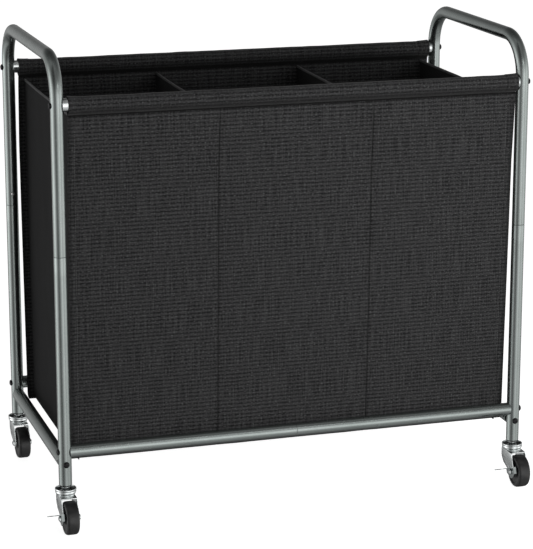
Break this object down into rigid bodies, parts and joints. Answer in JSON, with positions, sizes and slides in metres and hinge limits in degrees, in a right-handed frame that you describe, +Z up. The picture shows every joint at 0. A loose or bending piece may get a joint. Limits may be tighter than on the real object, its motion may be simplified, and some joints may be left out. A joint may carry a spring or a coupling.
{
  "type": "laundry cart",
  "caption": "Rolling laundry sorter: steel tube frame with bent push handles, divided fabric bag on two rods, swivel casters, two with brake levers.",
  "frame": {"origin": "bottom centre of the cart's bounding box, on the ground; the frame's own middle is 7.25 mm to +X and 21.8 mm to +Y of it, because the brake pedals reach to -X and the casters trail to -Y", "axes": "+X along the cart's length, towards its right end seen from the front; +Y from front to back, so the casters trail towards the front; +Z up"},
  "size_m": [0.8526, 0.4902, 0.7956],
  "materials": {
    "gunmetal_paint": "satin powder coat, dark gunmetal grey with a faint green cast",
    "zinc_plate": "bright zinc plating on stamped steel",
    "black_steel": "black oxide, semi-gloss",
    "spring_steel": "bright spring steel",
    "plug_plastic": "black moulded plastic",
    "wheel_rubber": "black rubber tread, satin",
    "panel_cloth": "black slub-woven polyester, coated inside",
    "side_cloth": "black fine plain-woven polyester"
  },
  "bodies": {
    "root": {"left_handle_frame": "gunmetal_paint", "right_handle_frame": "gunmetal_paint", "left_side_rail": "gunmetal_paint", "right_side_rail": "gunmetal_paint", "front_rail_left": "gunmetal_paint", "front_rail_right": "gunmetal_paint", "back_rail_left": "gunmetal_paint", "back_rail_right": "gunmetal_paint", "front_rod": "zinc_plate", "back_rod": "zinc_plate", "bag_front_panel": "panel_cloth", "bag_back_panel": "panel_cloth", "bag_left_side": "side_cloth", "bag_right_side": "side_cloth", "bag_divider_left": "side_cloth", "bag_divider_right": "side_cloth", "bag_floor": "side_cloth", "lower_leg_fl": "gunmetal_paint", "rod_screw_fl": "black_steel", "rail_screw_fl": "black_steel", "side_rail_screw_fl": "black_steel", "caster_socket_fl": "plug_plastic", "caster_stem_fl": "zinc_plate", "lower_leg_fr": "gunmetal_paint", "rod_screw_fr": "black_steel", "rail_screw_fr": "black_steel", "side_rail_screw_fr": "black_steel", "caster_socket_fr": "plug_plastic", "caster_stem_fr": "zinc_plate", "lower_leg_rl": "gunmetal_paint", "rod_screw_rl": "black_steel", "rail_screw_rl": "black_steel", "side_rail_screw_rl": "black_steel", "caster_socket_rl": "plug_plastic", "caster_stem_rl": "zinc_plate", "lower_leg_rr": "gunmetal_paint", "rod_screw_rr": "black_steel", "rail_screw_rr": "black_steel", "side_rail_screw_rr": "black_steel", "caster_socket_rr": "plug_plastic", "caster_stem_rr": "zinc_plate"},
    "caster_fl": {"caster_fork_fl": "zinc_plate", "caster_axle_fl": "zinc_plate"},
    "wheel_fl": {"caster_wheel_fl": "wheel_rubber"},
    "button_fl": {"snap_button_fl": "spring_steel"},
    "brake_fl": {"brake_lever_fl": "zinc_plate"},
    "caster_fr": {"caster_fork_fr": "zinc_plate", "caster_axle_fr": "zinc_plate"},
    "wheel_fr": {"caster_wheel_fr": "wheel_rubber"},
    "button_fr": {"snap_button_fr": "spring_steel"},
    "brake_fr": {"brake_lever_fr": "zinc_plate"},
    "caster_rl": {"caster_fork_rl": "zinc_plate", "caster_axle_rl": "zinc_plate"},
    "wheel_rl": {"caster_wheel_rl": "wheel_rubber"},
    "button_rl": {"snap_button_rl": "spring_steel"},
    "caster_rr": {"caster_fork_rr": "zinc_plate", "caster_axle_rr": "zinc_plate"},
    "wheel_rr": {"caster_wheel_rr": "wheel_rubber"},
    "button_rr": {"snap_button_rr": "spring_steel"}
  },
  "joints": [
    {"name": "swivel_fl", "type": "hinge", "parent": "root", "child": "caster_fl", "pos_m": [-0.39375, -0.1835, 0.062], "axis": [0, 0, 1], "continuous": true},
    {"name": "roll_fl", "type": "hinge", "parent": "caster_fl", "child": "wheel_fl", "pos_m": [-0.39375, -0.217, 0.0281], "axis": [1, 0, 0], "continuous": true},
    {"name": "brake_fl", "type": "hinge", "parent": "caster_fl", "child": "brake_fl", "pos_m": [-0.40875, -0.217, 0.0281], "axis": [-1, 0, 0], "range_deg": [0, 14]},
    {"name": "press_fl", "type": "slide", "parent": "root", "child": "button_fl", "axis": [0, -1, 0], "range_m": [0, 0.0035], "stiffness_N_per_m": 1500},
    {"name": "swivel_fr", "type": "hinge", "parent": "root", "child": "caster_fr", "pos_m": [0.40825, -0.1835, 0.062], "axis": [0, 0, 1], "continuous": true},
    {"name": "roll_fr", "type": "hinge", "parent": "caster_fr", "child": "wheel_fr", "pos_m": [0.40825, -0.217, 0.0281], "axis": [1, 0, 0], "continuous": true},
    {"name": "brake_fr", "type": "hinge", "parent": "caster_fr", "child": "brake_fr", "pos_m": [0.39325, -0.217, 0.0281], "axis": [-1, 0, 0], "range_deg": [0, 14]},
    {"name": "press_fr", "type": "slide", "parent": "root", "child": "button_fr", "axis": [0, -1, 0], "range_m": [0, 0.0035], "stiffness_N_per_m": 1500},
    {"name": "swivel_rl", "type": "hinge", "parent": "root", "child": "caster_rl", "pos_m": [-0.39375, 0.2271, 0.062], "axis": [0, 0, 1], "continuous": true},
    {"name": "roll_rl", "type": "hinge", "parent": "caster_rl", "child": "wheel_rl", "pos_m": [-0.39375, 0.1936, 0.0281], "axis": [1, 0, 0], "continuous": true},
    {"name": "press_rl", "type": "slide", "parent": "root", "child": "button_rl", "axis": [0, 1, 0], "range_m": [0, 0.0035], "stiffness_N_per_m": 1500},
    {"name": "swivel_rr", "type": "hinge", "parent": "root", "child": "caster_rr", "pos_m": [0.40825, 0.2271, 0.062], "axis": [0, 0, 1], "continuous": true},
    {"name": "roll_rr", "type": "hinge", "parent": "caster_rr", "child": "wheel_rr", "pos_m": [0.40825, 0.1936, 0.0281], "axis": [1, 0, 0], "continuous": true},
    {"name": "press_rr", "type": "slide", "parent": "root", "child": "button_rr", "axis": [0, 1, 0], "range_m": [0, 0.0035], "stiffness_N_per_m": 1500}
  ]
}
